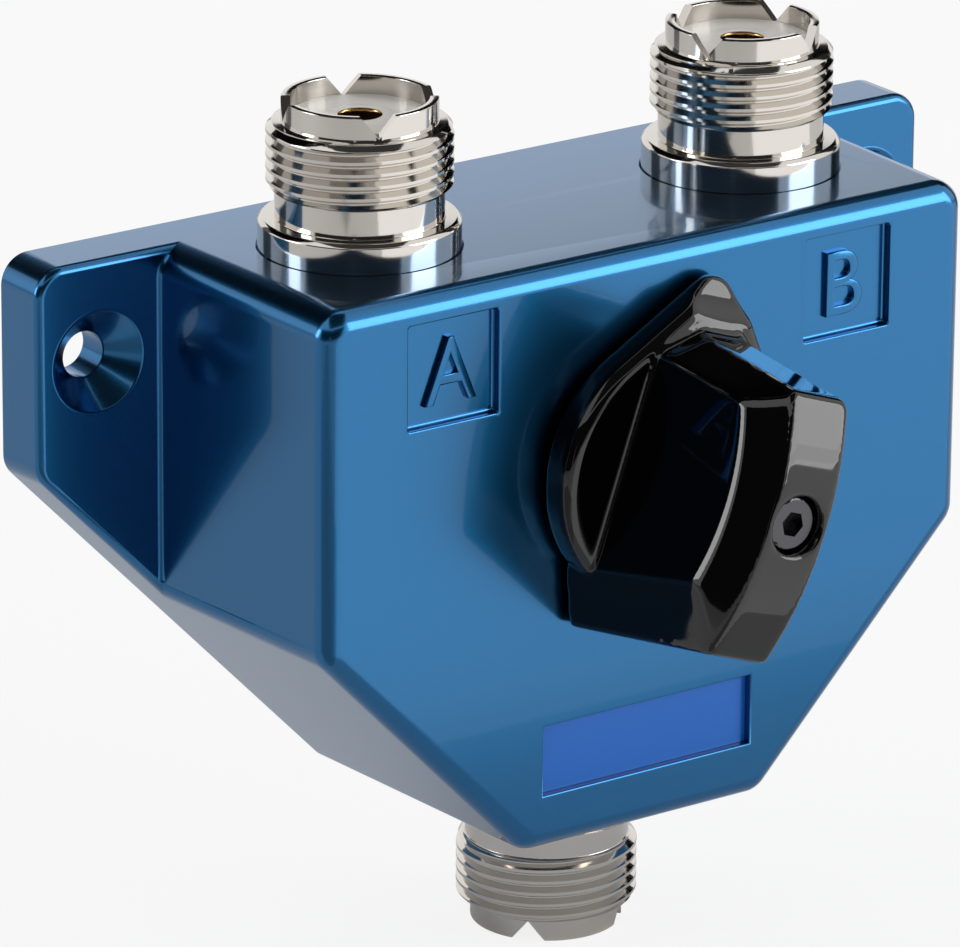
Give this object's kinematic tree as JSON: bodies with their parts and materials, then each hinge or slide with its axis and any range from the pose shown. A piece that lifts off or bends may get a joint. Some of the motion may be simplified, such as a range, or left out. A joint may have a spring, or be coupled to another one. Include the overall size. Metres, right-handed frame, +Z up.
{
  "type": "coaxial antenna switch",
  "caption": "Two-way coaxial switch in a die-cast box with mounting ears, threaded sockets above and below, and a bar knob that swings a blade between the upper sockets.",
  "frame": {"origin": "middle of the two ear holes on the back plane of the ears", "axes": "+X to port B, seen from the front; +Y backwards, into the wall; +Z up to the twin sockets"},
  "size_m": [0.0936, 0.0494, 0.0785],
  "materials": {
    "blue_paint": "glossy metallic blue enamel",
    "plain_aluminium": "plain sheet",
    "zinc_steel": "zinc plated",
    "blue_plate": "printed metal foil, bare",
    "bright_nickel": "bright nickel plate",
    "silvered_bronze": "silver plated spring bronze",
    "brass_rivets": "plain brass",
    "bush_brass": "turned brass",
    "ground_steel": "ground",
    "spring_steel": "oiled spring steel",
    "polished_steel": "polished",
    "white_plastic": "white fluoroplastic",
    "gold_plate": "gold plated",
    "knob_black": "glossy black",
    "black_steel": "black oxide"
  },
  "bodies": {
    "body": {"housing": "blue_paint", "back_cover": "plain_aluminium", "cover_screws": "zinc_steel", "label_plate": "blue_plate", "port_nuts": "bright_nickel", "port_a_fork": "silvered_bronze", "port_b_fork": "silvered_bronze", "common_fork": "silvered_bronze", "fork_rivets": "brass_rivets", "shaft_bush": "bush_brass", "thrust_washer": "bush_brass", "detent_ball": "polished_steel", "detent_spring": "spring_steel", "stop_pin": "ground_steel", "port_a_shell": "bright_nickel", "port_a_insulator": "white_plastic", "port_a_contact": "gold_plate", "port_b_shell": "bright_nickel", "port_b_insulator": "white_plastic", "port_b_contact": "gold_plate", "common_shell": "bright_nickel", "common_insulator": "white_plastic", "common_contact": "gold_plate"},
    "rotor": {"knob": "knob_black", "knob_screw": "black_steel", "rotor_shaft": "ground_steel", "retaining_ring": "spring_steel", "detent_plate": "zinc_steel", "ground_wiper": "silvered_bronze", "rotor_hub": "white_plastic", "hub_pin": "ground_steel", "rotor_blade": "silvered_bronze", "blade_clamp": "white_plastic", "blade_screws": "brass_rivets"}
  },
  "joints": [
    {"name": "knob_turn", "type": "hinge", "parent": "body", "child": "rotor", "pos_m": [0, -0.0289, -0.0101], "axis": [0, -1, 0], "range_deg": [0, 39]}
  ]
}
